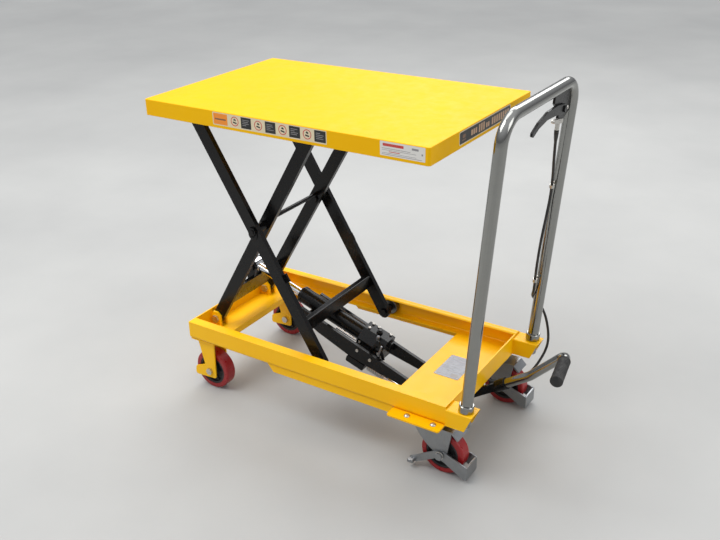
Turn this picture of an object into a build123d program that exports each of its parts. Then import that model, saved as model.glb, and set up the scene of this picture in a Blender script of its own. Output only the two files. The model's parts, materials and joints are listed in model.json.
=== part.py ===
"""Mobile scissor lift table, raised, in millimetres.

Frame: +Z up, +X towards the push handle, -Y is the left side.  The origin is on the floor,
under the middle of the whole table.  The deck is up; lowering it turns the inner arms.
"""
import math
import os

from build123d import *

os.makedirs("parts", exist_ok=True)

LEFT, RIGHT = -1, 1
SIDES = ((LEFT, "left"), (RIGHT, "right"))
GAP = 0.3                     # between faces that slide past each other
FIT = 0.05                    # radial play of a running fit

# ---- driving dimensions -------------------------------------------------------------
deck_x = -114.1               # middle of the deck
deck_length = 700.0
deck_width = 450.0
deck_top = 740.0
deck_skirt = 35.0
deck_sheet = 3.0

base_front = deck_x - 331.0
base_rear = deck_x + 372.0
base_half_width = 186.0
rail_bottom = 135.0
rail_height = 45.0
rail_flange = 24.0
rail_wall = 3.5
rail_top = rail_bottom + rail_height
floor_top = 140.0             # top of the front plate and of the rear cover
sheet = 3.0

arm_length = 648.0            # pivot to roller
arm_depth = 30.0
arm_thickness = 12.0
arm_pivot_x = deck_x - 312.0
arm_low_z = 157.5
arm_high_z = 714.0
inner_arm_y = 98.0
outer_arm_y = 138.0
arm_rise = math.degrees(math.asin((arm_high_z - arm_low_z) / arm_length))
arm_run = arm_length * math.cos(math.radians(arm_rise))
outer_shift = 9.5             # the outer arms stand this much nearer the handle
roller_x = arm_pivot_x + arm_run + outer_shift
deck_pivot_x = arm_pivot_x + outer_shift
cross_at = arm_length / 2 + outer_shift / 2 / math.cos(math.radians(arm_rise))
pin_radius = 6.0
low_roller_radius = 18.5
top_roller_radius = 11.0

wheel_radius = 50.0
wheel_width = 30.0
wheel_y = 154.0
front_wheel_x = deck_x - 284.5
axle_radius = 5.0
caster_x = deck_x + 318.0
caster_offset = 39.0
caster_plate_top = 131.0

handle_x = deck_x + 411.5     # leg axis at handle_z
handle_z = 190.0
handle_lean = 5.0
handle_y = 170.0
handle_radius = 12.5
handle_wall = 2.0
handle_rise = 605.0           # from handle_z up to the axis of the bar
handle_bend = 48.0
socket_top = 175.0

unit_tilt = 18.5              # hydraulic unit, below the horizontal towards the rear
eye_x = deck_x - 263.0
eye_z = 276.0
barrel_radius = 20.0
rod_radius = 10.0
bar_y = 41.0
rear_pivot_u = 602.0          # from the rod eye along the barrel
rear_pivot_v = -26.0          # across the barrel

cable_radius = 3.0


def across(y):
    """Upright plane square to Y, with local x along X and local y up."""
    return Plane(origin=(0, y, 0), x_dir=(1, 0, 0), z_dir=(0, -1, 0))


def tilted(x, y, z, degrees):
    """Plane square to Y whose local x points degrees above the X axis."""
    turn = math.radians(degrees)
    return Plane(origin=(x, y, z), x_dir=(math.cos(turn), 0, math.sin(turn)), z_dir=(0, -1, 0))


def inner_frame(y):
    """Along an inner arm, from its base pivot to its top roller."""
    return tilted(arm_pivot_x, y, arm_low_z, arm_rise)


def outer_frame(y):
    """Along an outer arm, from its bottom roller to its deck pivot."""
    return tilted(roller_x, y, arm_low_z, 180 - arm_rise)


def unit_frame(y):
    """Along the hydraulic unit, from the rod eye to the rear."""
    return tilted(eye_x, y, eye_z, -unit_tilt)


def handle_frame(n=0.0):
    """Plane of the handle, n towards the user: local x along Y, local y up the legs."""
    lean = math.radians(handle_lean)
    forward = (math.cos(lean), 0, -math.sin(lean))
    origin = (handle_x + n * forward[0], 0, handle_z + n * forward[2])
    return Plane(origin=origin, x_dir=(0, 1, 0), z_dir=forward)


def save(builder, name):
    """Label a finished piece and write it as its own STEP file."""
    builder.part.label = name
    export_step(builder.part, f"parts/{name}.step")


def shaft(x, z, radius, low, high):
    """Round bar along Y, from low to high, in the part being built."""
    with Locations((x, (low + high) / 2, z)):
        Cylinder(radius, high - low, rotation=(90, 0, 0))


def turned(x, y, z):
    """Plane through an axis parallel to Y: local x is the radius, local y runs along the axis."""
    return Plane(origin=(x, y, z), x_dir=(1, 0, 0), z_dir=(0, 0, 1))


# ---- side rails: channels open inwards, with a stiffener below the rear half ---------
stiffener_front = deck_x - 94.0
stiffener_rear = deck_x + 244.0
stiffener_drop = 18.0
stiffener_y = 181.0
for side, word in SIDES:
    with BuildPart() as rail:
        with BuildSketch(Plane.YZ.offset(base_front)) as section:
            with Locations((side * (base_half_width - rail_flange / 2), rail_bottom + rail_height / 2)):
                Rectangle(rail_flange, rail_height)
            outer_side = section.vertices().sort_by(Axis.Y)[:2] if side < 0 else section.vertices().sort_by(Axis.Y)[2:]
            fillet(outer_side, 8)
            opening = rail_flange + 6
            with Locations((side * (base_half_width - rail_wall - opening / 2), rail_bottom + rail_height / 2)):
                RectangleRounded(opening, rail_height - 2 * rail_wall, 4, mode=Mode.SUBTRACT)
        extrude(amount=base_rear - base_front)
        with BuildSketch(across(side * stiffener_y)):
            with BuildLine():
                Polyline(
                    (stiffener_front, rail_bottom + 1),
                    (stiffener_rear, rail_bottom + 1),
                    (stiffener_rear, rail_bottom - stiffener_drop),
                    (stiffener_front + 16, rail_bottom - stiffener_drop),
                    close=True,
                )
            make_face()
        extrude(amount=sheet / 2, both=True)
    save(rail, f"{word}_side_rail")

# ---- front cross plate: floor, end wall, turned-down lip and the arm pivot ears ------
front_depth = 74.0
ear_width = 32.0
ear_top = 177.0
ear_sheet = 5.0
ear_inside = arm_thickness / 2 + 1.0
with BuildPart() as front_cross_plate:
    with BuildSketch(across(0)):
        with BuildLine():
            Polyline(
                (base_front, rail_bottom),
                (base_front, rail_top),
                (base_front + rail_wall, rail_top),
                (base_front + rail_wall, floor_top),
                (base_front + front_depth, floor_top),
                (base_front + front_depth, floor_top - 16),
                (base_front + front_depth - sheet, floor_top - 16),
                (base_front + front_depth - sheet, floor_top - sheet),
                (base_front + rail_wall, floor_top - sheet),
                (base_front + rail_wall, rail_bottom),
                close=True,
            )
        make_face()
    extrude(amount=base_half_width - rail_flange, both=True)
    with BuildSketch(Plane.YZ.offset(base_front)):
        with Locations((0, rail_bottom + rail_height / 2)):
            RectangleRounded(2 * (base_half_width - rail_wall), rail_height - 2 * rail_wall, 4)
    extrude(amount=rail_wall)
    for side in (LEFT, RIGHT):
        for face in (-1, 1):
            ear_y = side * inner_arm_y + face * (ear_inside + ear_sheet / 2)
            with BuildSketch(across(ear_y)):
                with BuildLine():
                    Polyline(
                        (arm_pivot_x - ear_width / 2, floor_top - 1),
                        (arm_pivot_x - ear_width / 2, ear_top - 9),
                        (arm_pivot_x - ear_width / 2 + 9, ear_top),
                        (arm_pivot_x + ear_width / 2 - 9, ear_top),
                        (arm_pivot_x + ear_width / 2, ear_top - 9),
                        (arm_pivot_x + ear_width / 2, floor_top - 1),
                        close=True,
                    )
                make_face()
                with Locations((arm_pivot_x, arm_low_z)):
                    Circle(pin_radius, mode=Mode.SUBTRACT)
            extrude(amount=ear_sheet / 2, both=True)
save(front_cross_plate, "front_cross_plate")

bolt_x = deck_x + 295.0
bolt_y = 121.0

# ---- rear wall with the hangers of the hydraulic unit's rear pivot -------------------
tilt = math.radians(unit_tilt)
rear_pivot_x = eye_x + rear_pivot_u * math.cos(tilt) + rear_pivot_v * math.sin(tilt)
rear_pivot_z = eye_z - rear_pivot_u * math.sin(tilt) + rear_pivot_v * math.cos(tilt)
hanger_y = 56.0
hanger_sheet = 6.0
rear_floor = 2.0
valve_x = deck_x + 345.0
valve_y = 30.0
valve_z = 106.0
valve_pin_radius = 3.0
lug_sheet = 4.0
cover_front = deck_x + 222.0
cover_bottom = floor_top - sheet
with BuildPart() as rear_wall:
    with BuildSketch(across(0)):
        with Locations((base_rear - rail_wall / 2, (rail_bottom + rail_top) / 2)):
            Rectangle(rail_wall, rail_height)
    extrude(amount=base_half_width - rail_flange, both=True)
    with BuildSketch(Plane.YZ.offset(base_rear - rail_wall)):
        with Locations((0, rail_bottom + rail_height / 2)):
            RectangleRounded(2 * (base_half_width - rail_wall), rail_height - 2 * rail_wall, 4)
    extrude(amount=rail_wall)
    with BuildSketch(Plane.XY.offset(cover_bottom - rear_floor)):
        with Locations(((rear_pivot_x - 24 + base_rear) / 2, 0)):
            Rectangle(base_rear - rear_pivot_x + 24, 2 * (base_half_width - rail_flange) - 1)
        for side in (LEFT, RIGHT):
            with Locations((bolt_x, side * bolt_y)):
                Circle(4, mode=Mode.SUBTRACT)
    extrude(amount=rear_floor)
    for side in (LEFT, RIGHT):
        with BuildSketch(across(side * hanger_y)):
            with BuildLine():
                Polyline(
                    (rear_pivot_x - 22, cover_bottom - rear_floor + 1),
                    (rear_pivot_x + 30, cover_bottom - rear_floor + 1),
                    (rear_pivot_x + 12, rear_pivot_z - 5),
                    (rear_pivot_x + 5, rear_pivot_z - 12),
                    (rear_pivot_x - 5, rear_pivot_z - 12),
                    (rear_pivot_x - 12, rear_pivot_z - 5),
                    close=True,
                )
            make_face()
            with Locations((rear_pivot_x, rear_pivot_z)):
                Circle(axle_radius, mode=Mode.SUBTRACT)
        extrude(amount=hanger_sheet / 2, both=True)
    with BuildSketch(across(valve_y + lug_sheet)):
        with BuildLine():
            Polyline(
                (valve_x - 14, cover_bottom - rear_floor + 1),
                (valve_x + 14, cover_bottom - rear_floor + 1),
                (valve_x + 8, valve_z - 8),
                (valve_x - 8, valve_z - 8),
                close=True,
            )
        make_face()
        with Locations((valve_x, valve_z)):
            Circle(valve_pin_radius, mode=Mode.SUBTRACT)
    extrude(amount=lug_sheet / 2, both=True)
save(rear_wall, "rear_wall")

# ---- cover plate and the dome-head bolts of the frame --------------------------------
mount_bolt_x = (deck_x + 287.0, deck_x + 349.0)
mount_bolt_y = 196.0
mount_top = rail_bottom
with BuildPart() as cover_plate:
    with BuildSketch(Plane.XY.offset(cover_bottom)):
        with Locations(((cover_front + base_rear - rail_wall) / 2, 0)):
            Rectangle(base_rear - rail_wall - cover_front, 2 * (base_half_width - rail_flange) - 1)
    extrude(amount=sheet)
    with BuildSketch(Plane.XY.offset(cover_bottom)):
        for side in (LEFT, RIGHT):
            with Locations((bolt_x, side * bolt_y)):
                Circle(4)
    extrude(amount=sheet, mode=Mode.SUBTRACT)
save(cover_plate, "cover_plate")

with BuildPart() as frame_bolts:
    for side in (LEFT, RIGHT):
        spots = [(bolt_x, side * bolt_y, floor_top)]
        spots += [(x, side * mount_bolt_y, mount_top) for x in mount_bolt_x]
        for x, y, z in spots:
            profile = Plane(origin=(x, y, z), x_dir=(1, 0, 0), z_dir=(0, -1, 0))
            with BuildSketch(profile):
                with BuildLine():
                    Line((0, -8), (0, 4))
                    ThreePointArc((0, 4), (5, 2.6), (7, 0))
                    Polyline((7, 0), (4, 0), (4, -8), (0, -8))
                make_face()
            revolve(axis=Axis((x, y, z), (0, 0, 1)))
save(frame_bolts, "frame_bolts")

# ---- caster mounts: plates under the rails that stand out past them ------------------
mount_front = deck_x + 246.0
mount_rear = deck_x + 370.0
mount_outside = 213.0
mount_inside = 112.0
with BuildPart() as caster_mounts:
    for side in (LEFT, RIGHT):
        with BuildSketch(Plane.XY.offset(caster_plate_top)):
            with Locations(((mount_front + mount_rear) / 2, side * (mount_outside + mount_inside) / 2)):
                RectangleRounded(mount_rear - mount_front, mount_outside - mount_inside, 5)
            for x in mount_bolt_x:
                with Locations((x, side * mount_bolt_y)):
                    Circle(4, mode=Mode.SUBTRACT)
            with Locations((bolt_x, side * bolt_y)):
                Circle(4, mode=Mode.SUBTRACT)
        extrude(amount=mount_top - caster_plate_top)
save(caster_mounts, "caster_mounts")

# ---- handle sockets: short channels behind the rear wall -----------------------------
socket_half = 21.0
socket_reach = 60.0
with BuildPart() as handle_sockets:
    for side in (LEFT, RIGHT):
        socket_y = side * 167.0
        with BuildSketch(across(socket_y)):
            with BuildLine():
                Polyline(
                    (base_rear, rail_bottom + 1),
                    (base_rear, socket_top),
                    (base_rear + socket_reach, socket_top),
                    (base_rear + socket_reach - 17, rail_bottom + 1),
                    close=True,
                )
            make_face()
        extrude(amount=socket_half, both=True)
        with BuildSketch(across(socket_y)):
            with Locations((base_rear + socket_reach / 2, rail_bottom - 5)):
                Rectangle(socket_reach + 20, socket_top - rail_wall - rail_bottom + 5, align=(Align.CENTER, Align.MIN))
        extrude(amount=socket_half - rail_wall, both=True, mode=Mode.SUBTRACT)
    long_edges = handle_sockets.edges().filter_by(Axis.X).group_by(Axis.Z)[-1]
    outer_edges = long_edges.filter_by(lambda e: abs(abs(e.center().Y) - 167) > socket_half - 1)
    fillet(outer_edges, 3)
    for side in (LEFT, RIGHT):
        leg = handle_frame()
        with BuildSketch(Plane(origin=leg.from_local_coords((side * handle_y, -60, 0)),
                               x_dir=(0, 1, 0), z_dir=leg.y_dir)):
            Circle(handle_radius + FIT)
        extrude(amount=60, mode=Mode.SUBTRACT)
save(handle_sockets, "handle_sockets")

# ---- push handle: one bent tube, with a nut on top of each socket --------------------
handle_foot = -50.0
with BuildPart() as handle_tube:
    with BuildLine(handle_frame()) as handle_path:
        FilletPolyline(
            (-handle_y, handle_foot),
            (-handle_y, handle_rise),
            (handle_y, handle_rise),
            (handle_y, handle_foot),
            radius=handle_bend,
        )
    with BuildSketch(Plane(origin=handle_path.line @ 0, z_dir=handle_path.line % 0)):
        Circle(handle_radius)
        Circle(handle_radius - handle_wall, mode=Mode.SUBTRACT)
    sweep()
save(handle_tube, "handle_tube")

nut_low = -13.6
nut_height = 16.0
with BuildPart() as handle_nuts:
    for side in (LEFT, RIGHT):
        foot = handle_frame().from_local_coords((side * handle_y, nut_low, 0))
        with BuildSketch(Plane(origin=foot, x_dir=(0, 1, 0), z_dir=handle_frame().y_dir)):
            Circle(16)
            Circle(handle_radius, mode=Mode.SUBTRACT)
        extrude(amount=nut_height)
    chamfer(handle_nuts.edges().filter_by(GeomType.CIRCLE).filter_by(lambda e: e.radius > 15), 1.2)
save(handle_nuts, "handle_nuts")

# ---- release lever, its bracket in the corner of the handle, and the cable ----------
lever_pivot = (112.0, 557.0)
lever_line = ((lever_pivot, 10.0), ((70.0, 563.0), 10.0), ((24.0, 564.0), 8.2))
lever_line += (((-16.0, 555.0), 6.6), ((-38.0, 544.0), 6.0))
lever_n = 2.8
lever_sheet = 5.0
bend_centre = (handle_y - handle_bend, handle_rise - handle_bend)
bend_inside = handle_bend - handle_radius
under_bar = handle_rise - handle_radius
beside_leg = handle_y - handle_radius
with BuildPart() as lever_bracket:
    with BuildSketch(handle_frame()):
        with BuildLine():
            Polyline(
                (beside_leg, bend_centre[1]),
                (beside_leg, 545),
                (122, 529),
                (98, 529),
                (98, 552),
                (66, 576),
                (66, under_bar),
                (bend_centre[0], under_bar),
            )
            CenterArc(bend_centre, bend_inside, 0, 90)
        make_face()
        with Locations(lever_pivot):
            Circle(4, mode=Mode.SUBTRACT)
    extrude(amount=2.5, both=True)
save(lever_bracket, "lever_bracket")

cable_start = (90.0, 518.0, 6.0)
ferrule_radius = 4.5
with BuildPart() as cable_clamp:
    with BuildSketch(handle_frame(2.5)):
        for y, up, radius in ((64, 542, 4), (104, 534, 5)):
            with Locations((y, up)):
                Circle(radius)
        make_hull()
    extrude(amount=7)
    ferrule = handle_frame().from_local_coords((cable_start[0], cable_start[1] + 2 * GAP, cable_start[2]))
    with BuildSketch(Plane(origin=ferrule, x_dir=(0, 1, 0), z_dir=handle_frame().y_dir)):
        Circle(ferrule_radius)
    extrude(amount=20)
save(cable_clamp, "cable_clamp")

pivot_head = 7.0
with BuildPart() as release_lever:
    for (near, near_radius), (far, far_radius) in zip(lever_line, lever_line[1:]):
        with BuildSketch(handle_frame(lever_n)):
            with Locations(near):
                Circle(near_radius)
            with Locations(far):
                Circle(far_radius)
            make_hull()
        extrude(amount=lever_sheet)
    with BuildSketch(handle_frame(-lever_n - 3)):
        with Locations(lever_pivot):
            Circle(pivot_head)
    extrude(amount=3)
    with BuildSketch(handle_frame(-lever_n)):
        with Locations(lever_pivot):
            Circle(4 - FIT)
    extrude(amount=2 * lever_n)
    with BuildSketch(handle_frame(lever_n + lever_sheet)):
        with Locations(lever_pivot):
            RegularPolygon(pivot_head, 6)
    extrude(amount=3)
save(release_lever, "release_lever")

cable_on_leg = [cable_start, (99, 487, 4.5), (113, 450, 2), (137, 403, -2.5), (152, 352, -5.5)]
cable_on_leg += [(145, 296, -6), (137, 248, -6), (136.5, 178, -6), (150, 122, -8)]
cable_points = [tuple(handle_frame().from_local_coords(point)) for point in cable_on_leg]
cable_points += [
    (deck_x + 402, 170, 285),
    (deck_x + 402, 200, 262),
    (deck_x + 418, 216, 228),
    (deck_x + 433, 211, 183),
    (deck_x + 437, 202, 147),
    (deck_x + 425, 182, 109),
    (deck_x + 414, 150, 90),
    (deck_x + 396, 106, 93),
    (deck_x + 376, 64, 102),
    (valve_x + 6, valve_y + 14.5, 117),
]


def bend_radii(points):
    """Radius at each corner that uses 0.45 of its shorter neighbouring run."""
    radii = []
    for before, here, after in zip(points, points[1:], points[2:]):
        run_in = Vector(*here) - Vector(*before)
        run_out = Vector(*after) - Vector(*here)
        half_turn = math.radians(run_in.get_angle(run_out)) / 2
        radii.append(0.45 * min(run_in.length, run_out.length) / math.tan(half_turn))
    return radii


cable_radii = bend_radii(cable_points)
with BuildPart() as release_cable:
    with BuildLine() as cable_path:
        FilletPolyline(*cable_points, radius=cable_radii)
    with BuildSketch(Plane(origin=cable_path.line @ 0, z_dir=cable_path.line % 0)):
        Circle(cable_radius)
    sweep()
save(release_cable, "release_cable")
print("cable radii", [round(radius, 1) for radius in cable_radii])
print("cable length", round(cable_path.wires()[0].length, 1))
swept = math.pi * cable_radius**2 * cable_path.wires()[0].length
print("cable volume over section x length", round(release_cable.part.volume / swept, 4))

clip_height = 8.0
clip_runs = (3, 7)            # the straight runs of the cable that a clip holds
with BuildPart() as cable_clips:
    for run in clip_runs:
        upper = Vector(*cable_points[run])
        lower = Vector(*cable_points[run + 1])
        along = (upper - lower).normalized()
        sideways = (Vector(0, 1, 0) - along * along.Y).normalized()
        middle = (upper + lower) * 0.5
        to_leg = handle_y - handle_radius - middle.Y
        with BuildSketch(Plane(origin=middle, x_dir=sideways, z_dir=along)):
            Circle(cable_radius + 2.2)
            with Locations((to_leg / 2 + 0.7, 0)):
                Rectangle(to_leg - 2, 2)
            Circle(cable_radius + 0.1, mode=Mode.SUBTRACT)
        extrude(amount=clip_height / 2, both=True)
save(cable_clips, "cable_clips")

# ---- pins that stay with the base frame ----------------------------------------------
front_leg_y = (131.5, 135.0, 173.0, 176.5)
pivot_outside = ear_inside + ear_sheet
with BuildPart() as base_pins:
    for side in (LEFT, RIGHT):
        centre = side * inner_arm_y
        shaft(arm_pivot_x, arm_low_z, pin_radius, centre - pivot_outside - 3, centre + pivot_outside + 3)
        wheel_centre = side * wheel_y
        shaft(front_wheel_x, wheel_radius, axle_radius, wheel_centre - 25, wheel_centre + 25)
        for end in (-1, 1):
            with BuildSketch(across(centre + end * (pivot_outside + 2.5))):
                with Locations((arm_pivot_x, arm_low_z)):
                    RegularPolygon(10.5, 6)
            extrude(amount=2.5, both=True)
            with BuildSketch(across(wheel_centre + end * 25.5)):
                with Locations((front_wheel_x, wheel_radius)):
                    RegularPolygon(9, 6)
            extrude(amount=3, both=True)
    shaft(rear_pivot_x, rear_pivot_z, axle_radius, -hanger_y - 6, hanger_y + 6)
    for end in (-1, 1):
        with BuildSketch(across(end * (hanger_y + 5.5))):
            with Locations((rear_pivot_x, rear_pivot_z)):
                RegularPolygon(9, 6)
        extrude(amount=2.5, both=True)
    shaft(valve_x, valve_z, valve_pin_radius, valve_y - lug_sheet, valve_y + 3 * lug_sheet)
save(base_pins, "base_pins")

# ---- front wheel brackets and wheels -------------------------------------------------
bracket_front = deck_x - 331.0
bracket_rear = deck_x - 260.0
bracket_sheet = 3.5
for side, word in SIDES:
    with BuildPart() as wheel_bracket:
        with BuildSketch(Plane.XY.offset(rail_bottom - bracket_sheet)):
            with Locations(((bracket_front + bracket_rear) / 2, side * 155.5)):
                Rectangle(bracket_rear - bracket_front, 53)
        extrude(amount=bracket_sheet)
        for low, high in (front_leg_y[:2], front_leg_y[2:]):
            with BuildSketch(across(side * (low + high) / 2)) as leg_section:
                with BuildLine():
                    Polyline(
                        (deck_x - 315, rail_bottom - 1),
                        (deck_x - 265, rail_bottom - 1),
                        (deck_x - 267, 33),
                        (deck_x - 333, 29),
                        (deck_x - 330, 52),
                        (deck_x - 299, 65),
                        close=True,
                    )
                make_face()
                fillet(leg_section.vertices().filter_by_position(Axis.Y, 0, 60), 6)
                with Locations((front_wheel_x, wheel_radius)):
                    Circle(axle_radius, mode=Mode.SUBTRACT)
            extrude(amount=(high - low) / 2, both=True)
    save(wheel_bracket, f"{word}_wheel_bracket")


tread_depth = 12.0
hub_radius = wheel_radius - tread_depth
for side, word in SIDES:
    for place, x, hub_half in (("front", front_wheel_x, 18.6), ("rear", caster_x + caster_offset, 17.4)):
        wheel_plane = turned(x, side * wheel_y, wheel_radius)
        wheel_axis = Axis((x, 0, wheel_radius), (0, 1, 0))
        with BuildPart() as tread:
            with BuildSketch(wheel_plane) as section:
                with Locations(((hub_radius + wheel_radius) / 2, 0)):
                    Rectangle(tread_depth, wheel_width)
                fillet(section.vertices().group_by(Axis.X)[-1], 4)
            revolve(axis=wheel_axis)
        save(tread, f"{word}_{place}_tread")
        with BuildPart() as hub:
            with BuildSketch(wheel_plane):
                with BuildLine():
                    Polyline(
                        (axle_radius + FIT, -hub_half),
                        (13, -hub_half),
                        (13, -8),
                        (hub_radius - 7, -8),
                        (hub_radius - 5, -wheel_width / 2 + 1),
                        (hub_radius, -wheel_width / 2 + 1),
                        (hub_radius, wheel_width / 2 - 1),
                        (hub_radius - 5, wheel_width / 2 - 1),
                        (hub_radius - 7, 8),
                        (13, 8),
                        (13, hub_half),
                        (axle_radius + FIT, hub_half),
                        close=True,
                    )
                make_face()
            revolve(axis=wheel_axis)
        save(hub, f"{word}_{place}_hub")

# ---- casters: top plate with kingpin, fork with wheel bolt, brake frame ---------------
crown_top = 114.0
crown_sheet = 4.0
race_split = 119.0
king_radius = 6.0
leg_inside = 18.0
leg_sheet = 3.5
brake_inside = leg_inside + leg_sheet + GAP
brake_sheet = 3.0
hub_x = caster_x + caster_offset
for side, word in SIDES:
    swivel = side * wheel_y
    with BuildPart() as caster_plate:
        with BuildSketch(Plane.XY.offset(caster_plate_top - 4)):
            with Locations((caster_x, swivel)):
                RectangleRounded(84, 66, 6)
        extrude(amount=4)
        with Locations((caster_x, swivel, (race_split + GAP + caster_plate_top - 4) / 2)):
            Cylinder(27, caster_plate_top - 4 - race_split - GAP)
        with Locations((caster_x, swivel, (crown_top - crown_sheet - GAP - 4 + race_split + GAP) / 2)):
            Cylinder(king_radius, race_split + 2 * GAP + 4 - crown_top + crown_sheet)
        with Locations((caster_x, swivel, crown_top - crown_sheet - GAP - 2)):
            Cylinder(10, 4)
    save(caster_plate, f"{word}_caster_plate")

    with BuildPart() as fork:
        with BuildSketch(Plane.XY.offset(crown_top - crown_sheet)):
            with Locations((caster_x, swivel)):
                Circle(26)
            with Locations((caster_x + 24, swivel)):
                Rectangle(76, 2 * (leg_inside + leg_sheet))
            with Locations((caster_x - 14, swivel)):
                RectangleRounded(32, 2 * (leg_inside + leg_sheet), 6)
            with Locations((caster_x, swivel)):
                Circle(king_radius + FIT, mode=Mode.SUBTRACT)
        extrude(amount=crown_sheet)
        with BuildSketch(Plane.XY.offset(crown_top)):
            with Locations((caster_x, swivel)):
                Circle(24)
                Circle(king_radius + FIT, mode=Mode.SUBTRACT)
        extrude(amount=race_split - crown_top)
        with BuildSketch(across(swivel)):
            with BuildLine():
                Polyline(
                    (caster_x + 56, crown_top),
                    (caster_x + 66, crown_top - 1),
                    (caster_x + 80, crown_top - 15),
                    (caster_x + 77, crown_top - 18),
                    (caster_x + 64, crown_top - 5),
                    (caster_x + 56, crown_top - crown_sheet),
                    close=True,
                )
            make_face()
        extrude(amount=leg_inside + leg_sheet, both=True)
        for face in (-1, 1):
            with BuildSketch(across(swivel + face * (leg_inside + leg_sheet / 2))):
                with BuildLine():
                    Polyline(
                        (caster_x - 28, crown_top - 1),
                        (caster_x + 62, crown_top - 1),
                        (caster_x + 62, 98),
                        (hub_x + 14, wheel_radius + 2),
                        (hub_x + 9, wheel_radius - 11),
                        (hub_x - 9, wheel_radius - 11),
                        (hub_x - 15, wheel_radius + 2),
                    )
                    ThreePointArc(
                        (hub_x - 15, wheel_radius + 2),
                        (caster_x - 8, 79),
                        (caster_x - 28, crown_top - 1),
                    )
                make_face()
            extrude(amount=leg_sheet / 2, both=True)
        shaft(hub_x, wheel_radius, axle_radius, swivel - 31, swivel + 31)
        for end in (-1, 1):
            with BuildSketch(across(swivel + end * 30)):
                with Locations((hub_x, wheel_radius)):
                    RegularPolygon(9, 6)
            extrude(amount=3, both=True)
    save(fork, f"{word}_caster_fork")

    with BuildPart() as brake_frame:
        for face in (-1, 1):
            with BuildSketch(across(swivel + face * (brake_inside + brake_sheet / 2))):
                with BuildLine():
                    Polyline(
                        (hub_x - 12, wheel_radius + 8),
                        (hub_x + 8, wheel_radius + 11),
                        (deck_x + 420, 40),
                        (deck_x + 420, 9),
                        (deck_x + 412, 9),
                        (hub_x + 6, wheel_radius - 13),
                        (hub_x - 10, wheel_radius - 10),
                        close=True,
                    )
                make_face()
                with Locations((hub_x, wheel_radius)):
                    Circle(axle_radius + FIT, mode=Mode.SUBTRACT)
            extrude(amount=brake_sheet / 2, both=True)
        with BuildSketch(across(swivel)):
            with Locations((deck_x + 418, 24.5)):
                Rectangle(4, 31)
        extrude(amount=brake_inside + brake_sheet / 2, both=True)
        outer_plate = swivel + side * (brake_inside + brake_sheet / 2)
        with BuildSketch(across(outer_plate)):
            with BuildLine():
                Polyline(
                    (hub_x - 4, wheel_radius + 9),
                    (hub_x - 12, wheel_radius + 8),
                    (deck_x + 292, 24),
                    (deck_x + 284, 20),
                    (deck_x + 286, 12),
                    (deck_x + 300, 12),
                    (hub_x - 9, wheel_radius - 11),
                    (hub_x - 4, wheel_radius - 10),
                    close=True,
                )
            make_face()
            with Locations((hub_x, wheel_radius)):
                Circle(axle_radius + FIT, mode=Mode.SUBTRACT)
        extrude(amount=brake_sheet / 2, both=True)
        with BuildSketch(across(outer_plate + side * 6)):
            with Locations((deck_x + 291, 16)):
                RectangleRounded(14, 7, 2)
        extrude(amount=7, both=True)
    save(brake_frame, f"{word}_brake_frame")

# ---- inner arms, their cross plate and tie rod ---------------------------------------
for side, word in SIDES:
    with BuildPart() as arm:
        with BuildSketch(inner_frame(side * inner_arm_y)):
            for t, radius in ((0, 14), (25, arm_depth / 2), (arm_length - 30, arm_depth / 2), (arm_length, 11)):
                with Locations((t, 0)):
                    Circle(radius)
            make_hull()
            with Locations((0, 0)):
                Circle(pin_radius + FIT, mode=Mode.SUBTRACT)
            with Locations((cross_at, 0), (arm_length, 0)):
                Circle(pin_radius, mode=Mode.SUBTRACT)
        extrude(amount=arm_thickness / 2, both=True)
    save(arm, f"{word}_inner_arm")

between_inner = inner_arm_y - arm_thickness / 2
eye_frame = inner_frame(0).to_local_coords(Vector(eye_x, 0, eye_z))
plate_half = 4.0
ear_gap = 13.0
eye_pin_radius = 8.0
with BuildPart() as inner_cross_plate:
    with BuildSketch(inner_frame(0)):
        with Locations((74, 0)):
            Rectangle(68, 2 * plate_half)
    extrude(amount=between_inner, both=True)
    for side in (LEFT, RIGHT):
        with BuildSketch(inner_frame(side * (ear_gap + 4))):
            for x, y, radius in ((80, 0, 3), (104, 0, 3.5), (eye_frame.X, eye_frame.Y, 15)):
                with Locations((x, y)):
                    Circle(radius)
            make_hull()
            with Locations((eye_frame.X, eye_frame.Y)):
                Circle(eye_pin_radius, mode=Mode.SUBTRACT)
        extrude(amount=4, both=True)
save(inner_cross_plate, "inner_cross_plate")

tie_spot = inner_frame(0).from_local_coords((349, 0, 0))
with BuildPart() as inner_tie_rod:
    shaft(tie_spot.X, tie_spot.Z, 5, -between_inner, between_inner)
save(inner_tie_rod, "inner_tie_rod")

# ---- outer arms and their cross tube ---------------------------------------------------
for side, word in SIDES:
    with BuildPart() as arm:
        with BuildSketch(outer_frame(side * outer_arm_y)):
            for t in (0, arm_length):
                with Locations((t, 0)):
                    Circle(arm_depth / 2)
            make_hull()
            with Locations((cross_at, 0), (arm_length, 0)):
                Circle(pin_radius + FIT, mode=Mode.SUBTRACT)
            with Locations((0, 0)):
                Circle(pin_radius, mode=Mode.SUBTRACT)
        extrude(amount=arm_thickness / 2, both=True)
        with BuildSketch(outer_frame(side * (outer_arm_y - arm_thickness / 2 + 2))):
            with Locations((206, -17)):
                Rectangle(20, 12)
        extrude(amount=2, both=True)
    save(arm, f"{word}_outer_arm")

between_outer = outer_arm_y - arm_thickness / 2
with BuildPart() as outer_cross_tube:
    with BuildSketch(outer_frame(0)):
        with Locations((89, 0)):
            RectangleRounded(32, 16, 3, rotation=arm_rise - 90)
            RectangleRounded(27, 11, 2, rotation=arm_rise - 90, mode=Mode.SUBTRACT)
    extrude(amount=between_outer, both=True)
save(outer_cross_tube, "outer_cross_tube")

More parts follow.
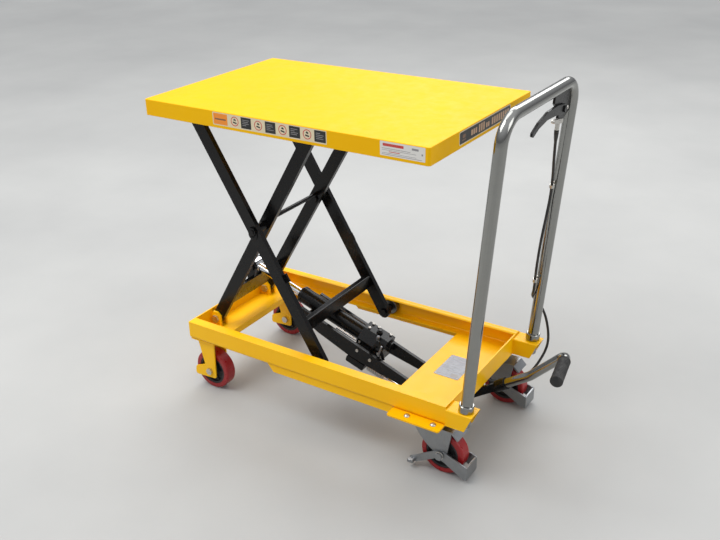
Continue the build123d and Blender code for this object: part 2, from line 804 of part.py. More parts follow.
# ---- pins that turn with the arms ------------------------------------------------------
centre_pivot = inner_frame(0).from_local_coords((cross_at, 0, 0))
inner_top = inner_frame(0).from_local_coords((arm_length, 0, 0))
top_roller_y = (106.0, 126.0)
low_roller_y = (164.5, 181.0)
with BuildPart() as inner_pins:
    for side in (LEFT, RIGHT):
        low, high = sorted((side * (between_inner - 5), side * (outer_arm_y + 6 + 8)))
        shaft(centre_pivot.X, centre_pivot.Z, pin_radius, low, high)
        low, high = sorted((side * (inner_arm_y + 6), side * (between_outer - GAP)))
        shaft(centre_pivot.X, centre_pivot.Z, 11, low, high)
        low, high = sorted((side * (between_inner - 5), side * (top_roller_y[1] + 2)))
        shaft(inner_top.X, inner_top.Z, pin_radius, low, high)
        for spot, y in ((centre_pivot, between_inner - 2.5), (centre_pivot, outer_arm_y + 6 + GAP + 3)):
            with BuildSketch(across(side * y)):
                with Locations((spot.X, spot.Z)):
                    RegularPolygon(11, 6)
            extrude(amount=2.5, both=True)
        with BuildSketch(across(side * (between_inner - 2.5))):
            with Locations((inner_top.X, inner_top.Z)):
                RegularPolygon(10, 6)
        extrude(amount=2.5, both=True)
    shaft(eye_x, eye_z, eye_pin_radius, -ear_gap - 12, ear_gap + 12)
    for end in (-1, 1):
        with BuildSketch(across(end * (ear_gap + 10.5))):
            with Locations((eye_x, eye_z)):
                Circle(11)
        extrude(amount=2.5, both=True)
save(inner_pins, "inner_pins")

with BuildPart() as outer_pins:
    for side in (LEFT, RIGHT):
        low, high = sorted((side * (between_outer - 5), side * (low_roller_y[1] + 0.8)))
        shaft(roller_x, arm_low_z, pin_radius, low, high)
        low, high = sorted((side * (outer_arm_y + 6), side * (low_roller_y[0] - GAP)))
        shaft(roller_x, arm_low_z, 9, low, high)
        with BuildSketch(across(side * (between_outer - 2.5))):
            with Locations((roller_x, arm_low_z)):
                RegularPolygon(10, 6)
        extrude(amount=2.5, both=True)
save(outer_pins, "outer_pins")

# ---- rollers -----------------------------------------------------------------------------
roller_kinds = (("top", inner_top.X, inner_top.Z, top_roller_radius, top_roller_y),)
roller_kinds += (("bottom", roller_x, arm_low_z, low_roller_radius, low_roller_y),)
for side, word in SIDES:
    for place, x, z, radius, span in roller_kinds:
        with BuildPart() as roller:
            with BuildSketch(across(side * (span[0] + span[1]) / 2)):
                with Locations((x, z)):
                    Circle(radius)
                    Circle(pin_radius + FIT, mode=Mode.SUBTRACT)
            extrude(amount=(span[1] - span[0]) / 2, both=True)
            rims = roller.edges().filter_by(GeomType.CIRCLE).filter_by(lambda e: e.radius > radius - 1)
            chamfer(rims, 1)
        save(roller, f"{word}_{place}_roller")

# ---- deck with its skirt, roller tracks and pivot brackets -----------------------------
skirt_wall = 2.5
under_deck = deck_top - deck_sheet
with BuildPart() as platform_deck:
    with BuildSketch(Plane.XY.offset(deck_top - deck_skirt)):
        with Locations((deck_x, 0)):
            RectangleRounded(deck_length, deck_width, 5)
    extrude(amount=deck_skirt)
    with BuildSketch(Plane.XY.offset(deck_top - deck_skirt)):
        with Locations((deck_x, 0)):
            RectangleRounded(deck_length - 2 * skirt_wall, deck_width - 2 * skirt_wall, 3)
    extrude(amount=deck_skirt - deck_sheet, mode=Mode.SUBTRACT)
    fillet(platform_deck.edges().group_by(Axis.Z)[-1], 1.5)
save(platform_deck, "platform_deck")

track_bottom = arm_high_z + top_roller_radius + 0.2
track_front = deck_x - 40.0
track_rear = deck_x + 347.0
with BuildPart() as roller_tracks:
    for side in (LEFT, RIGHT):
        with BuildSketch(Plane.XY.offset(track_bottom)):
            with Locations(((track_front + track_rear) / 2, side * 116)):
                Rectangle(track_rear - track_front, 22)
        extrude(amount=under_deck - track_bottom)
save(roller_tracks, "roller_tracks")

deck_leg_y = (125.0, 131.0, 145.0, 151.0)
with BuildPart() as deck_brackets:
    for side in (LEFT, RIGHT):
        with BuildSketch(Plane.XY.offset(under_deck - 4)):
            with Locations((deck_pivot_x, side * outer_arm_y)):
                Rectangle(34, 26)
        extrude(amount=4)
        for low, high in (deck_leg_y[:2], deck_leg_y[2:]):
            with BuildSketch(across(side * (low + high) / 2)):
                with BuildLine():
                    Polyline(
                        (deck_pivot_x - 17, under_deck),
                        (deck_pivot_x + 17, under_deck),
                        (deck_pivot_x + 13, arm_high_z - 6),
                        (deck_pivot_x + 6, arm_high_z - 13),
                        (deck_pivot_x - 6, arm_high_z - 13),
                        (deck_pivot_x - 13, arm_high_z - 6),
                        close=True,
                    )
                make_face()
                with Locations((deck_pivot_x, arm_high_z)):
                    Circle(pin_radius, mode=Mode.SUBTRACT)
            extrude(amount=(high - low) / 2, both=True)
save(deck_brackets, "deck_brackets")

with BuildPart() as deck_bolts:
    for side in (LEFT, RIGHT):
        low, high = sorted((side * (deck_leg_y[0] - 5), side * (deck_leg_y[3] + 5)))
        shaft(deck_pivot_x, arm_high_z, pin_radius, low, high)
        for y in (deck_leg_y[0] - 2.5, deck_leg_y[3] + 2.5):
            with BuildSketch(across(side * y)):
                with Locations((deck_pivot_x, arm_high_z)):
                    RegularPolygon(10, 6)
            extrude(amount=2.5, both=True)
save(deck_bolts, "deck_bolts")

# ---- hydraulic unit ----------------------------------------------------------------------
gland_u = 146.0
barrel_front = 158.0
barrel_rear = 335.0
rod_end = 231.0


def unit_section(u, v=0.0, y=0.0):
    """Plane square to the barrel at u, facing the rear."""
    origin = unit_frame(y).from_local_coords((u, v, 0))
    return Plane(origin=origin, x_dir=(0, 1, 0), z_dir=unit_frame(0).x_dir)


with BuildPart() as piston_rod:
    with BuildSketch(unit_frame(0)):
        Circle(16)
    extrude(amount=ear_gap - GAP, both=True)
    with BuildSketch(unit_section(10)):
        Circle(rod_radius)
    extrude(amount=rod_end - 10)
    with BuildSketch(unit_section(rod_end - 20)):
        Circle(barrel_radius - 4.1)
    extrude(amount=20)
    with BuildSketch(unit_frame(0)):
        Circle(eye_pin_radius + FIT)
    extrude(amount=ear_gap, both=True, mode=Mode.SUBTRACT)
save(piston_rod, "piston_rod")

with BuildPart() as cylinder_gland:
    with BuildSketch(unit_section(gland_u)):
        Circle(barrel_radius + 1)
        Circle(rod_radius + FIT, mode=Mode.SUBTRACT)
    extrude(amount=barrel_front - gland_u)
    front_rim = cylinder_gland.edges().filter_by(GeomType.CIRCLE).filter_by(lambda e: e.radius > 15)
    chamfer(front_rim.sort_by(Axis.X)[0], 5)
save(cylinder_gland, "cylinder_gland")

with BuildPart() as cylinder_barrel:
    with BuildSketch(unit_section(barrel_front)):
        Circle(barrel_radius)
        Circle(barrel_radius - 4, mode=Mode.SUBTRACT)
    extrude(amount=barrel_rear - barrel_front)
save(cylinder_barrel, "cylinder_barrel")

bar_thickness = 8.0
block_front = 335.0
block_rear = 404.0
plunger_v = -53.0
plunger_y = -31.0
plunger_radius = 5.0
with BuildPart() as pump_block:
    with BuildSketch(unit_section(block_front)):
        with BuildLine():
            Polyline(
                (-28, -34),
                (-28, 2),
                (-8, 24),
                (20, 26),
                (28, 19),
                (28, -34),
                close=True,
            )
        make_face()
    extrude(amount=block_rear - block_front)
    with BuildSketch(unit_frame(plunger_y)):
        with Locations((356, -53.5)):
            RectangleRounded(50, 17, 4)
    extrude(amount=15, both=True)
    with BuildSketch(unit_frame(-22)):
        with Locations((356, -39)):
            Rectangle(42, 16)
    extrude(amount=6, both=True)
    with BuildSketch(unit_frame(0)):
        with Locations((370, -18)):
            Rectangle(46, 20)
    extrude(amount=bar_y - bar_thickness / 2, both=True)
    with BuildSketch(unit_section(block_front, plunger_v, plunger_y)):
        Circle(plunger_radius + FIT)
    extrude(amount=60, mode=Mode.SUBTRACT)
    with BuildSketch(unit_section(block_rear, 6, 8)):
        RegularPolygon(11, 6)
    extrude(amount=7)
save(pump_block, "pump_block")

slot_u = -9.5                 # where the axle sits in the slot with the deck half way
slot_v = -15.0
slot_width = 14.0
slot_run = math.hypot(slot_u, slot_v)
slot_turn = math.degrees(math.atan2(slot_v, slot_u))
bar_front = 178.0
with BuildPart() as side_bars:
    for side in (LEFT, RIGHT):
        with BuildSketch(unit_frame(side * bar_y)):
            with BuildLine():
                Polyline(
                    (bar_front, -1),
                    (block_front, -5),
                    (600, -12),
                    (585, -40),
                    (480, -34),
                    (388, -42),
                    (328, -44),
                    (240, -37),
                    (bar_front, -24),
                    close=True,
                )
            make_face()
            for u, v in ((rear_pivot_u, rear_pivot_v), (rear_pivot_u + slot_u, rear_pivot_v + slot_v)):
                with Locations((u, v)):
                    Circle(slot_width / 2 + 6)
            with Locations((rear_pivot_u + slot_u / 2, rear_pivot_v + slot_v / 2)):
                SlotCenterToCenter(slot_run, slot_width, rotation=slot_turn, mode=Mode.SUBTRACT)
        extrude(amount=bar_thickness / 2, both=True)
    with BuildSketch(unit_frame(0)):
        with Locations((bar_front + 30, -barrel_radius - 5)):
            Rectangle(40, 8)
    extrude(amount=bar_y, both=True)
save(side_bars, "side_bars")

plunger_end = 576.0
plunger_collar = 437.0
with BuildPart() as pump_plunger:
    with BuildSketch(unit_section(358, plunger_v, plunger_y)):
        Circle(plunger_radius)
    extrude(amount=plunger_end - 358)
    with BuildSketch(unit_section(plunger_collar, plunger_v, plunger_y)):
        Circle(9)
    extrude(amount=4)
save(pump_plunger, "pump_plunger")

spring_start = 384.5
spring_wire = 1.1
spring_length = plunger_collar - 1.5 - spring_start
spring_section = unit_section(spring_start, plunger_v, plunger_y)
with BuildPart() as return_spring:
    with BuildLine() as coil:
        Helix(spring_length / 9, spring_length, 7.4, center=spring_section.origin, direction=spring_section.z_dir)
    with BuildSketch(Plane(origin=coil.line @ 0, z_dir=coil.line % 0)):
        Circle(spring_wire)
    sweep(is_frenet=True)
save(return_spring, "return_spring")

# ---- pedal ---------------------------------------------------------------------------------
pedal_y = 22.0
pedal_rise = 33.9
tube_start = 112.0
pedal_tube_radius = 10.5
pedal_reach = tilted(rear_pivot_x, pedal_y, rear_pivot_z, pedal_rise)
with BuildPart() as pedal_bracket:
    shaft(rear_pivot_x, rear_pivot_z, 10, -35, 35)
    with BuildSketch(pedal_reach):
        with Locations((tube_start / 2, 0)):
            Rectangle(tube_start, 18)
    extrude(amount=5, both=True)
    socket = pedal_reach.from_local_coords((tube_start, 0, 0))
    with BuildSketch(Plane(origin=socket, x_dir=(0, 1, 0), z_dir=pedal_reach.x_dir)):
        Circle(pedal_tube_radius + 3)
    extrude(amount=26)
    with BuildSketch(Plane(origin=socket, x_dir=(0, 1, 0), z_dir=pedal_reach.x_dir).offset(4)):
        Circle(pedal_tube_radius)
    extrude(amount=22, mode=Mode.SUBTRACT)
    with BuildSketch(unit_frame(plunger_y)):
        for u, v, radius in ((rear_pivot_u, rear_pivot_v, 9), (rear_pivot_u - 7.7, plunger_v, 6)):
            with Locations((u, v)):
                Circle(radius)
        make_hull()
    extrude(amount=4, both=True)
    with BuildSketch(across(0)):
        with Locations((rear_pivot_x, rear_pivot_z)):
            Circle(axle_radius + FIT)
    extrude(amount=40, both=True, mode=Mode.SUBTRACT)
save(pedal_bracket, "pedal_bracket")

tube_foot = pedal_reach.from_local_coords((tube_start + 4, 0, 0))
pedal_knee = pedal_reach.from_local_coords((202, 0, 0))
pedal_corner = Vector(deck_x + 545, pedal_y, 251)
pedal_end = Vector(deck_x + 565, -86, 252)
with BuildPart() as pedal_tube:
    with BuildLine() as pedal_path:
        FilletPolyline(tube_foot, pedal_knee, pedal_corner, pedal_end, radius=[60, 24])
    with BuildSketch(Plane(origin=pedal_path.line @ 0, z_dir=pedal_path.line % 0)):
        Circle(pedal_tube_radius)
    sweep()
save(pedal_tube, "pedal_tube")

grip_way = (pedal_end - pedal_corner).normalized()
grip_start = pedal_end - grip_way * 82
with BuildPart() as pedal_sleeve:
    with BuildSketch(Plane(origin=grip_start, z_dir=grip_way)):
        Circle(pedal_tube_radius + 2.5)
    extrude(amount=86)
    with BuildSketch(Plane(origin=grip_start, z_dir=grip_way)):
        Circle(pedal_tube_radius)
    extrude(amount=82, mode=Mode.SUBTRACT)
    far_rim = pedal_sleeve.edges().filter_by(GeomType.CIRCLE).filter_by(lambda e: e.radius > pedal_tube_radius + 1)
    fillet(far_rim, 1.5)
save(pedal_sleeve, "pedal_sleeve")

# ---- valve lever at the end of the cable ---------------------------------------------------
with BuildPart() as valve_lever:
    with BuildSketch(across(valve_y + 2 * lug_sheet + 1)):
        for x, z, radius in ((valve_x, valve_z, 8), (valve_x + 4, valve_z + 9, 5), (valve_x - 22, valve_z - 4, 4)):
            with Locations((x, z)):
                Circle(radius)
        make_hull()
        with Locations((valve_x, valve_z)):
            Circle(valve_pin_radius + FIT, mode=Mode.SUBTRACT)
    extrude(amount=2, both=True)
save(valve_lever, "valve_lever")
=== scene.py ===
"""Looks of the mobile scissor lift table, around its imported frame.  Metres, +Z up."""
import json
import math

import bmesh
import bpy
from mathutils import Matrix, Vector


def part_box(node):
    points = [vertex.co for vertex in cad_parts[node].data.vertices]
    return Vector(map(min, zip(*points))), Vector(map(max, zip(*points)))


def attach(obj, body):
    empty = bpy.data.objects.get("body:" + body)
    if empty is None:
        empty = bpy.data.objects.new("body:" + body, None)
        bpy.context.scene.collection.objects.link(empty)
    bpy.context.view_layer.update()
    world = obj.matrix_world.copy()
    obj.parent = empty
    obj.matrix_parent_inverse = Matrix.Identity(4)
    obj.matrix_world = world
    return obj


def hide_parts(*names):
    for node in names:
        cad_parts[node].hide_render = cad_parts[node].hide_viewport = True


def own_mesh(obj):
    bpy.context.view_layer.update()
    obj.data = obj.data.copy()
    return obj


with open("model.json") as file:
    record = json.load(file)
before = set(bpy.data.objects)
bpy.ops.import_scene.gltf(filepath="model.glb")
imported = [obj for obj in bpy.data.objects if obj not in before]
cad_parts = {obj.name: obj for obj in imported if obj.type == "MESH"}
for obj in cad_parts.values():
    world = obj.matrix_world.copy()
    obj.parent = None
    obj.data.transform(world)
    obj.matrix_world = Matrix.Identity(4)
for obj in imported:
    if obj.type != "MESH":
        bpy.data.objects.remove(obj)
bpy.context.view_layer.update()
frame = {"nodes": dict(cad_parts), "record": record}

MM = 0.001
UNIT_TILT = math.radians(18.5)
HANDLE_LEAN = math.radians(5.0)

deck_low, deck_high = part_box("platform_deck")
DECK_X = (deck_low[0] + deck_high[0]) / 2 / MM
DECK_HALF_X = (deck_high[0] - deck_low[0]) / 2 / MM
DECK_HALF_Y = (deck_high[1] - deck_low[1]) / 2 / MM


# ---- node materials ---------------------------------------------------------------------
def new_material(name, color, rough, metallic=0.0):
    material = bpy.data.materials.new(name)
    material.use_nodes = True
    material.diffuse_color = (*color, 1)
    shader = material.node_tree.nodes["Principled BSDF"]
    shader.inputs["Base Color"].default_value = (*color, 1)
    shader.inputs["Roughness"].default_value = rough
    shader.inputs["Metallic"].default_value = metallic
    return material


def add_node(material, kind, inputs=None, **settings):
    node = material.node_tree.nodes.new(kind)
    for key, value in settings.items():
        setattr(node, key, value)
    for key, value in (inputs or {}).items():
        node.inputs[key].default_value = value
    return node


def link(material, source, target):
    material.node_tree.links.new(source, target)


def noise(material, scale, detail=4.0, rough=0.55, stretch=None):
    """Noise over the object's own coordinates, in cycles per metre."""
    place = add_node(material, "ShaderNodeTexCoord")
    texture = add_node(material, "ShaderNodeTexNoise", {"Scale": scale, "Detail": detail, "Roughness": rough})
    if stretch:
        mapping = add_node(material, "ShaderNodeMapping", {"Scale": stretch})
        link(material, place.outputs["Object"], mapping.inputs["Vector"])
        link(material, mapping.outputs["Vector"], texture.inputs["Vector"])
    else:
        link(material, place.outputs["Object"], texture.inputs["Vector"])
    return texture.outputs["Fac"]


def spread(material, source, low, high, from_low=0.3, from_high=0.7):
    node = add_node(material, "ShaderNodeMapRange",
                    {"From Min": from_low, "From Max": from_high, "To Min": low, "To Max": high})
    link(material, source, node.inputs["Value"])
    return node.outputs["Result"]


def mix_colors(material, factor, color_a, color_b):
    node = add_node(material, "ShaderNodeMix", data_type="RGBA")
    link(material, factor, node.inputs["Factor"])
    for socket, color in ((node.inputs[6], color_a), (node.inputs[7], color_b)):
        if isinstance(color, tuple):
            socket.default_value = (*color, 1)
        else:
            link(material, color, socket)
    return node.outputs[2]


def multiply(material, a, b):
    node = add_node(material, "ShaderNodeMath", operation="MULTIPLY")
    link(material, a, node.inputs[0])
    if isinstance(b, float):
        node.inputs[1].default_value = b
    else:
        link(material, b, node.inputs[1])
    return node.outputs[0]


def edge_mask(material, radius):
    """1 near sharp edges, 0 on flat ground."""
    bevel = add_node(material, "ShaderNodeBevel", {"Radius": radius}, samples=6)
    ground = add_node(material, "ShaderNodeNewGeometry")
    dot = add_node(material, "ShaderNodeVectorMath", operation="DOT_PRODUCT")
    link(material, bevel.outputs["Normal"], dot.inputs[0])
    link(material, ground.outputs["Normal"], dot.inputs[1])
    return spread(material, dot.outputs["Value"], 1.0, 0.0, 0.86, 0.995)


def finish_surface(material, bumps, round_edges=0.0008):
    """Soft edges and a stack of bumps: (height source, strength, distance)."""
    shader = material.node_tree.nodes["Principled BSDF"]
    normal = None
    if round_edges:
        normal = add_node(material, "ShaderNodeBevel", {"Radius": round_edges}, samples=6).outputs["Normal"]
    for source, strength, distance in bumps:
        bump = add_node(material, "ShaderNodeBump", {"Strength": strength, "Distance": distance})
        link(material, source, bump.inputs["Height"])
        if normal:
            link(material, normal, bump.inputs["Normal"])
        normal = bump.outputs["Normal"]
    link(material, normal, shader.inputs["Normal"])


def paint(name, color, shade, rough, coat, gloss=0.3, peel=0.06, wear_and_highlight=(0.5, 0.5, 0.5),
          wear_and_highlight_amount=0.35, dust=0.0):
    """Gloss paint: slow colour drift, orange peel, fine dust, and edge colour that is partly rubbed wear and
    partly painted edge highlight.
    """
    material = new_material(name, color, rough)
    shader = material.node_tree.nodes["Principled BSDF"]
    drift = spread(material, noise(material, 6.0, 3.0), 0.0, 1.0)
    tone = mix_colors(material, drift, color, shade)
    if dust:
        specks = spread(material, noise(material, 240.0, 6.0, 0.7), 0.0, dust, 0.45, 0.75)
        tone = mix_colors(material, specks, tone, (0.55, 0.52, 0.46))
    # edge colour along sharp edges: partly rubbed wear, partly a painted edge highlight
    rubbed_and_highlit = multiply(material, edge_mask(material, 0.0012),
                      spread(material, noise(material, 90.0, 8.0, 0.7), 0.0, wear_and_highlight_amount, 0.5, 0.66))
    tone = mix_colors(material, rubbed_and_highlit, tone, wear_and_highlight)
    link(material, tone, shader.inputs["Base Color"])
    smears = spread(material, noise(material, 34.0, 6.0, 0.65), rough * 0.82, rough * 1.3)
    link(material, smears, shader.inputs["Roughness"])
    shader.inputs["Coat Weight"].default_value = coat
    shader.inputs["Specular IOR Level"].default_value = gloss
    shader.inputs["Coat Roughness"].default_value = 0.12
    finish_surface(material, [(noise(material, 420.0, 2.0), peel, 0.0006),
                              (noise(material, 1700.0, 2.0), peel * 0.6, 0.0002)])
    return material


def plated(name, color, rough, brush=None, spangle=0.0, grime=0.25, edges=0.0005):
    """Bare or plated metal: brushing or turning marks, stains and fine pits."""
    material = new_material(name, color, rough, 1.0)
    shader = material.node_tree.nodes["Principled BSDF"]
    stain = spread(material, noise(material, 55.0, 7.0, 0.7), 0.0, grime, 0.42, 0.78)
    tone = mix_colors(material, stain, color, tuple(c * 0.45 for c in color))
    link(material, tone, shader.inputs["Base Color"])
    marks = noise(material, 900.0, 4.0, 0.6, brush) if brush else noise(material, 700.0, 4.0, 0.6)
    link(material, spread(material, marks, rough * 0.7, rough * 1.5), shader.inputs["Roughness"])
    bumps = [(marks, 0.05, 0.0003)]
    if spangle:
        place = add_node(material, "ShaderNodeTexCoord")
        cells = add_node(material, "ShaderNodeTexVoronoi", {"Scale": 320.0})
        link(material, place.outputs["Object"], cells.inputs["Vector"])
        bumps.append((cells.outputs["Distance"], spangle, 0.0004))
    finish_surface(material, bumps, edges)
    return material


def moulded(name, color, rough, grain=0.15, grain_scale=900.0, scuff=0.2,
            scuff_color=(0.35, 0.33, 0.3), edges=0.0008):
    """Moulded plastic, rubber or cast polyurethane with grain and scuffs."""
    material = new_material(name, color, rough)
    shader = material.node_tree.nodes["Principled BSDF"]
    patches = spread(material, noise(material, 38.0, 7.0, 0.68), 0.0, scuff, 0.48, 0.8)
    tone = mix_colors(material, patches, color, scuff_color)
    link(material, tone, shader.inputs["Base Color"])
    link(material, spread(material, noise(material, 120.0, 5.0), rough * 0.85, min(1.0, rough * 1.2)),
         shader.inputs["Roughness"])
    finish_surface(material, [(noise(material, grain_scale, 3.0), grain, 0.0004)], edges)
    return material


AMBER = (1.0, 0.55, 0.0)
LEMON = (0.88, 0.48, 0.0)
BLACK = (0.002, 0.002, 0.0025)
# the edge colours given below paint the sharp edges: partly rubbed wear, partly a painted edge highlight,
# lighter on the black and deck paint
look = {
    "frame_paint": paint("amber_paint", AMBER, (0.98, 0.51, 0.0), 0.36, 0.08, 0.25,
                         wear_and_highlight=(0.65, 0.42, 0.08), wear_and_highlight_amount=0.2),
    "deck_paint": paint("deck_paint", LEMON, (0.88, 0.455, 0.0), 0.5, 0.0, 0.14,
                        wear_and_highlight=(0.80, 0.56, 0.06), wear_and_highlight_amount=0.15),
    "black_paint": paint("black_paint", BLACK, (0.003, 0.003, 0.0033), 0.24, 0.05, 0.22,
                         wear_and_highlight=(0.08, 0.08, 0.08),
                         wear_and_highlight_amount=0.45, dust=0.02),
    "handle_chrome": plated("handle_chrome", (0.30, 0.30, 0.285), 0.13, brush=(1.0, 1.0, 0.06), grime=0.12),
    "rod_chrome": plated("rod_chrome", (0.80, 0.80, 0.80), 0.10, grime=0.15),
    "bolt_zinc": plated("bolt_zinc", (0.58, 0.56, 0.52), 0.32, spangle=0.05, grime=0.35),
    "caster_zinc": plated("caster_zinc", (0.34, 0.35, 0.36), 0.36, spangle=0.08, grime=0.3),
    "roller_steel": plated("roller_steel", (0.20, 0.20, 0.195), 0.34, brush=(1.0, 0.1, 1.0), grime=0.4),
    "spring_steel": plated("spring_steel", (0.48, 0.48, 0.47), 0.3, grime=0.3),
    "tread_red": moulded("tread_red", (0.30, 0.008, 0.010), 0.30, grain=0.06, scuff=0.2,
                         scuff_color=(0.16, 0.03, 0.03)),
    "hub_black": moulded("hub_black", (0.014, 0.014, 0.015), 0.45, grain=0.2, scuff=0.12),
    "cable_black": moulded("cable_black", (0.012, 0.012, 0.012), 0.4, grain=0.1, scuff=0.1),
    "grip_rubber": moulded("grip_rubber", (0.016, 0.016, 0.016), 0.62, grain=0.3, scuff=0.2),
}
FILM_COLORS = {
    "film_cream": (0.72, 0.62, 0.42), "film_white": (0.72, 0.70, 0.66), "film_black": (0.012, 0.012, 0.012),
    "film_orange": (0.85, 0.26, 0.02), "film_red": (0.55, 0.05, 0.04), "film_grey": (0.26, 0.25, 0.25),
    "film_brown": (0.20, 0.10, 0.05), "film_tan": (0.55, 0.34, 0.20),
}
for film, film_color in FILM_COLORS.items():
    look[film] = moulded(film, film_color, 0.32, grain=0.04, scuff=0.1, edges=0.0)
look["plate_silver"] = plated("plate_silver", (0.30, 0.31, 0.33), 0.5, brush=(0.08, 1.0, 1.0), grime=0.15)
for entry in frame["record"]["subparts"]:
    node = frame["nodes"][entry["node"]]
    if not node.material_slots:
        node.data.materials.append(None)
    for material_slot in node.material_slots:
        material_slot.material = look[entry["material_slot"]]
for dark_node in ("inner_pins", "outer_pins"):
    for material_slot in frame["nodes"][dark_node].material_slots:
        material_slot.material = look["black_paint"]

# ---- floor, light and camera ----------------------------------------------------------------
floor_look = new_material("studio_floor", (0.40, 0.40, 0.39), 0.75)
floor_shader = floor_look.node_tree.nodes["Principled BSDF"]
link(floor_look, mix_colors(floor_look, spread(floor_look, noise(floor_look, 1.3, 6.0), 0.0, 1.0),
                            (0.43, 0.43, 0.415), (0.37, 0.37, 0.36)), floor_shader.inputs["Base Color"])
reach = 12.0
floor_mesh = bpy.data.meshes.new("studio_floor")
corners = [(-reach, -reach, 0), (reach, -reach, 0), (reach, reach, 0), (-reach, reach, 0)]
floor_mesh.from_pydata(corners, [], [(0, 1, 2, 3)])
floor = bpy.data.objects.new("studio_floor", floor_mesh)
floor.data.materials.append(floor_look)
bpy.context.collection.objects.link(floor)

world = bpy.data.worlds.new("studio")
bpy.context.scene.world = world
world.use_nodes = True
sky = world.node_tree.nodes
background = sky["Background"]
background.inputs["Color"].default_value = (0.94, 0.96, 1.0, 1)
sky_place = sky.new("ShaderNodeTexCoord")
sky_split = sky.new("ShaderNodeSeparateXYZ")
sky_ramp = sky.new("ShaderNodeMapRange")
for socket, value in (("From Min", 0.05), ("From Max", 0.75), ("To Min", 0.28), ("To Max", 0.95)):
    sky_ramp.inputs[socket].default_value = value
world.node_tree.links.new(sky_place.outputs["Generated"], sky_split.inputs["Vector"])
world.node_tree.links.new(sky_split.outputs["Z"], sky_ramp.inputs["Value"])
world.node_tree.links.new(sky_ramp.outputs["Result"], background.inputs["Strength"])
bpy.context.scene.view_settings.view_transform = "Standard"


def area_light(name, place, target, width, height, power, color=(1, 1, 1)):
    light = bpy.data.lights.new(name, "AREA")
    light.shape = "RECTANGLE"
    light.size = width
    light.size_y = height
    light.energy = power
    light.color = color
    lamp = bpy.data.objects.new(name, light)
    lamp.location = place
    lamp.rotation_euler = (Vector(target) - Vector(place)).to_track_quat("-Z", "Y").to_euler()
    bpy.context.collection.objects.link(lamp)


sun = bpy.data.lights.new("soft_sun", "SUN")
sun.energy = 0.9
sun.angle = math.radians(40)
sun_lamp = bpy.data.objects.new("soft_sun", sun)
sun_lamp.rotation_euler = (math.radians(-14), math.radians(-20), 0)
bpy.context.collection.objects.link(sun_lamp)
area_light("key", (-1.6, -1.4, 3.4), (0, 0, 0.4), 2.2, 2.2, 75)
area_light("back", (-0.6, 2.6, 2.6), (0, 0, 0.5), 2.4, 1.6, 45)
area_light("side", (3.0, 0.2, 2.0), (0, 0, 0.5), 1.6, 1.6, 22)

camera_data = bpy.data.cameras.new("camera")
camera_data.sensor_width = 36.0
camera_data.lens = 45.19
camera_data.shift_x = 0.00625
camera_data.shift_y = -0.03375
camera = bpy.data.objects.new("camera", camera_data)
azimuth, elevation, roll = (math.radians(value) for value in (123.6, -24.14, -1.38))
level = math.cos(elevation)
forward = Vector((level * math.cos(azimuth), level * math.sin(azimuth), math.sin(elevation)))
level_right = forward.cross(Vector((0, 0, 1))).normalized()
level_up = level_right.cross(forward)
right = level_right * math.cos(roll) + level_up * math.sin(roll)
upward = level_up * math.cos(roll) - level_right * math.sin(roll)
facing = Matrix((right, upward, -forward)).transposed().to_4x4()
camera.matrix_world = Matrix.Translation(((1079.8 + DECK_X) * MM, -1568.5 * MM, 1237.3 * MM)) @ facing
bpy.context.collection.objects.link(camera)
bpy.context.scene.camera = camera

# ---- mesh helpers: sizes in millimetres, placed in the row frame ---------------------------
def basis(origin, x_dir, normal):
    """Matrix whose local z is the normal and whose local x is x_dir; the origin is in millimetres."""
    z = Vector(normal).normalized()
    x = Vector(x_dir)
    x = (x - z * x.dot(z)).normalized()
    matrix = Matrix((x, z.cross(x), z)).transposed().to_4x4()
    matrix.translation = Vector(origin) * MM
    return matrix


def unit_basis(u, v, y, along="u"):
    """On the hydraulic unit, u along the barrel from the rod eye and v across it."""
    eye = Vector((DECK_X - 263.0, y, 276.0))
    u_dir = Vector((math.cos(UNIT_TILT), 0, -math.sin(UNIT_TILT)))
    v_dir = Vector((math.sin(UNIT_TILT), 0, math.cos(UNIT_TILT)))
    origin = eye + u_dir * u + v_dir * v
    if along == "u":
        return basis(origin, v_dir, u_dir)
    if along == "v":
        return basis(origin, u_dir, v_dir)
    return basis(origin, u_dir, (0, -1, 0))


def handle_basis(y, up, out=0.0, along="up"):
    """In the handle's leaning plane, up its legs from z 190 and out towards the user."""
    up_dir = Vector((math.sin(HANDLE_LEAN), 0, math.cos(HANDLE_LEAN)))
    out_dir = Vector((math.cos(HANDLE_LEAN), 0, -math.sin(HANDLE_LEAN)))
    origin = Vector((DECK_X + 411.5, y, 190.0)) + up_dir * up + out_dir * out
    return basis(origin, (0, 1, 0), up_dir if along == "up" else out_dir)


def piece(name, vertices, faces, at, body, slot, material=None, bevel=0.0, smooth_angle=35.0):
    """A mesh piece that rides on a body, smooth except across sharp edges."""
    mesh = bpy.data.meshes.new(name)
    mesh.from_pydata([at @ (Vector(v) * MM) for v in vertices], [], faces)
    build = bmesh.new()
    build.from_mesh(mesh)
    bmesh.ops.remove_doubles(build, verts=build.verts, dist=1e-6)
    bmesh.ops.recalc_face_normals(build, faces=build.faces)
    for face in build.faces:
        face.smooth = True
    for edge in build.edges:
        edge.smooth = len(edge.link_faces) == 2 and edge.calc_face_angle(0) < math.radians(smooth_angle)
    build.to_mesh(mesh)
    build.free()
    mesh.materials.append(look[material or slot])
    made = bpy.data.objects.new(name, mesh)
    bpy.context.collection.objects.link(made)
    if bevel:
        rounding = made.modifiers.new("rounding", "BEVEL")
        rounding.width = bevel * MM
        rounding.segments = 2
        rounding.limit_method = "ANGLE"
        rounding.angle_limit = math.radians(35)
    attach(made, body)
    return made


